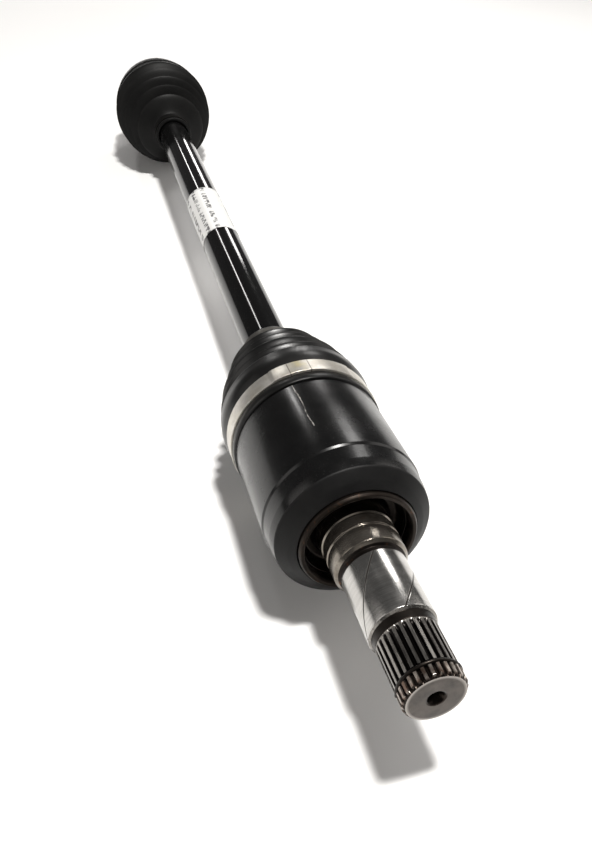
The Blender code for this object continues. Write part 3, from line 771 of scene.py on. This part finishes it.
def outer_housing():
    """The bell with its stub: seat for the boot, shoulder for the bearing, spline and thread."""
    sphere_r, rim = 33.7, -12
    angles = [math.radians(54.7 - 5 * k) for k in range(16)]
    sphere = [(sphere_r * math.sin(angle), sphere_r * math.cos(angle)) for angle in angles]
    pitch, thread_start, thread_end = 1.5, 80.5, OUTER_REACH - 1.6
    outline = [(27.5, 0)] + [point for point in sphere if point[0] > rim]
    outline += [(rim, 31.5), (rim, 40.4, 0.5), (-11.2, 41, 0.4), (5, 41, 0.5), (5.6, 42.7, 0.6)]
    outline += [(24, 42.7, 3.2), (28.5, 40.3, 4), (32.6, 33.3, 1), (34, 31.5, 0.5), (34, 16, 0.8)]
    outline += [(35.6, 14.3, 0.8), (39, 14.3, 0.5), (39.6, 13.6), (41, 13.6), (76.8, 13.6), (78.6, 12.5)]
    outline += [(79.2, 11.2, 0.4), (80.2, 11.2, 0.4)]
    rows = round((thread_end - thread_start) / pitch * 6)
    outline += [(thread_start + (thread_end - thread_start) * k / rows, 11.8) for k in range(rows + 1)]
    outline += [(OUTER_REACH, 10.6, 0.3), (OUTER_REACH, 3.6, 0.3), (OUTER_REACH - 3, 1.8, 0.6)]
    outline += [(OUTER_REACH - 8, 1.8), (OUTER_REACH - 8, 0)]

    def shape(x, r, turn):
        if 39.5 < x < 78.7 and r > 12.4:
            root = 12.4 + (r - 12.4) * max(0, 1 - (x - 39.6) / 3) ** 2
            return min(r, spline_radius(root, r, OUTER_TEETH, turn))
        if thread_start <= x <= thread_end and r > 11.5:
            share = (x / pitch - turn) % 1
            wave = abs(share - 0.5) * 2
            fade = min(1, (x - thread_start) / pitch, (thread_end - x) / pitch + 0.2)
            return r - 0.82 * wave * fade
        return r

    def slots(x, r):
        if x > 39.4:
            return 2
        if x > 33.9 and r < 32:
            return 1
        return 0 if x > 4 or r > 34 else 3

    materials = [PAINT, BRIGHT, WORN, DARK]
    sides = OUTER_TEETH * 8
    piece = turned("outer_housing_forging", filleted(outline), AT_OUTER, materials, sides, shape, slots=slots)
    stands_for(piece, "outer_joint", "black_paint", "outer_housing")
    washer = ring_of("hub_washer_plate", 80.6, 84, 12.2, 20, 0.5, AT_OUTER, BRIGHT, 96)
    stands_for(washer, "outer_joint", "bright_steel", "hub_washer")
    hub_nut()


def hub_nut():
    """A hexagon nut with both faces chamfered and a countersunk bore."""
    flat_r, start, end, bore = 16.0, 84.3, 102.3, 12.1
    corner_r = flat_r / math.cos(math.radians(30))

    def hexagon(turn):
        return flat_r / math.cos(((turn % (1 / 6)) - 1 / 12) * 2 * math.pi)

    rows, cone_start, cone_slope = 14, flat_r * 0.97, math.tan(math.radians(30))

    def shape(x, r, turn):
        if r < flat_r * 0.9:
            return r
        edge = min(x - start, end - x)
        cone = cone_start + edge / cone_slope
        return min(hexagon(turn), cone)

    outline = [(start, bore + 0.8), (start, flat_r * 0.93)]
    steps = [(corner_r - cone_start) * 0.62 * k / rows for k in range(rows + 1)]
    outline += [(start + s, corner_r) for s in steps] + [(end - s, corner_r) for s in reversed(steps)]
    outline += [(end, flat_r * 0.93), (end, bore + 0.8), (end - 0.8, bore), (start + 0.8, bore)]
    piece = turned("hub_nut_body", outline, AT_OUTER, [BRIGHT], 192, shape, True)
    stands_for(piece, "outer_joint", "bright_steel", "hub_nut")


# ---------------------------------------------------------------- inside the joints


def finish_inner_works():
    """The pieces inside the boots keep their CAD shapes and get their metals."""
    bright = ["tripod_spider", "inner_race"]
    bright += [f"{kind}_{k}" for kind in ("needle_set", "tripod_roller") for k in (1, 2, 3)]
    bright += [f"ball_{k}" for k in range(1, 7)]
    dark = ["spider_snap_ring", "race_circlip", "ball_cage"] + [f"roller_clip_{k}" for k in (1, 2, 3)]
    for names, finish in ((bright, BRIGHT), (dark, DARK)):
        for name in names:
            node = frame["nodes"][name]
            for slot in node.material_slots:
                slot.material = finish


# ---------------------------------------------------------------- studio


def area_light(name, place, target, size, power, colour):
    """A rectangular lamp that faces its target."""
    data = bpy.data.lights.new(name, "AREA")
    data.shape = "RECTANGLE"
    data.size, data.size_y = size
    data.energy = power
    data.color = colour
    light = bpy.data.objects.new(name, data)
    light.location = place
    light.rotation_euler = (Vector(target) - Vector(place)).to_track_quat("-Z", "Y").to_euler()
    bpy.context.scene.collection.objects.link(light)


def strip_light(middle, lean, start, length, width, power):
    """A tube parallel to the shaft, leaning this many degrees from overhead to its +Y side."""
    reach = 1.1
    data = bpy.data.lights.new("strip", "AREA")
    data.shape = "RECTANGLE"
    data.size, data.size_y = length, width
    data.energy = power
    data.color = (1, 0.98, 0.96)
    light = bpy.data.objects.new("strip", data)
    out = Matrix.Rotation(-math.radians(lean), 3, "X") @ Vector((0, 0, reach))
    light.location = middle + out + Vector((start + length / 2, 0, 0))
    light.rotation_euler = (-math.radians(lean), 0, 0)
    bpy.context.scene.collection.objects.link(light)


def studio():
    """A pale floor under soft lights: one overhead, three fills and three tubes along the shaft."""
    bm = bmesh.new()
    bmesh.ops.create_grid(bm, x_segments=2, y_segments=2, size=6)
    mesh = bpy.data.meshes.new("floor")
    bm.to_mesh(mesh)
    bm.free()
    mesh.materials.append(floor_finish())
    floor = bpy.data.objects.new("floor", mesh)
    bpy.context.scene.collection.objects.link(floor)

    world = bpy.data.worlds.new("studio")
    world.use_nodes = True
    world.node_tree.nodes["Background"].inputs["Color"].default_value = (1, 0.985, 0.97, 1)
    world.node_tree.nodes["Background"].inputs["Strength"].default_value = 0.09
    bpy.context.scene.world = world

    middle = AT_INNER.translation
    over = middle + Vector((0.1, 0, 0))
    area_light("overhead", over + Vector((-0.25, -0.16, 1.5)), over, (0.17, 0.15), 32, (1, 0.98, 0.95))
    fills = {"left": ((0.1, 1.7, 0.9), 8), "right": ((0.2, -1.7, 0.9), 9), "rear": ((-1.9, 0.2, 1.0), 3)}
    for side, (away, power) in fills.items():
        area_light(f"{side}_fill", middle + Vector(away), middle, (1.6, 1.2), power, (1, 0.96, 0.92))
    strip_light(middle, lean=15, start=1.55, length=2.1, width=0.09, power=9)
    strip_light(middle, lean=-48, start=2.1, length=1.7, width=0.28, power=16)
    strip_light(middle, lean=-36, start=0.85, length=0.5, width=0.3, power=4)


def camera():
    """The camera stands over the inner stub and looks down along the shaft."""
    data = bpy.data.cameras.new("camera")
    data.sensor_width = 36
    data.lens = 33.8
    data.clip_start = 0.01
    obj = bpy.data.objects.new("camera", data)
    forward = Vector((0.7551, -0.2042, -0.6225)).normalized()
    right = forward.cross(Vector((0, 0, 1))).normalized()
    up = right.cross(forward)
    place = Matrix((right, up, -forward)).transposed().to_4x4()
    place.translation = AT_SHAFT.translation + Vector((-0.2796, 0.0872, 0.2549))
    obj.matrix_world = place
    bpy.context.scene.collection.objects.link(obj)
    bpy.context.scene.camera = obj
    bpy.context.scene.view_settings.view_transform = "Standard"


camera()
studio()
shaft()
label()
inner_housing()
stub_circlip()
dust_ring()
inner_boot()
outer_boot()
outer_housing()
finish_inner_works()
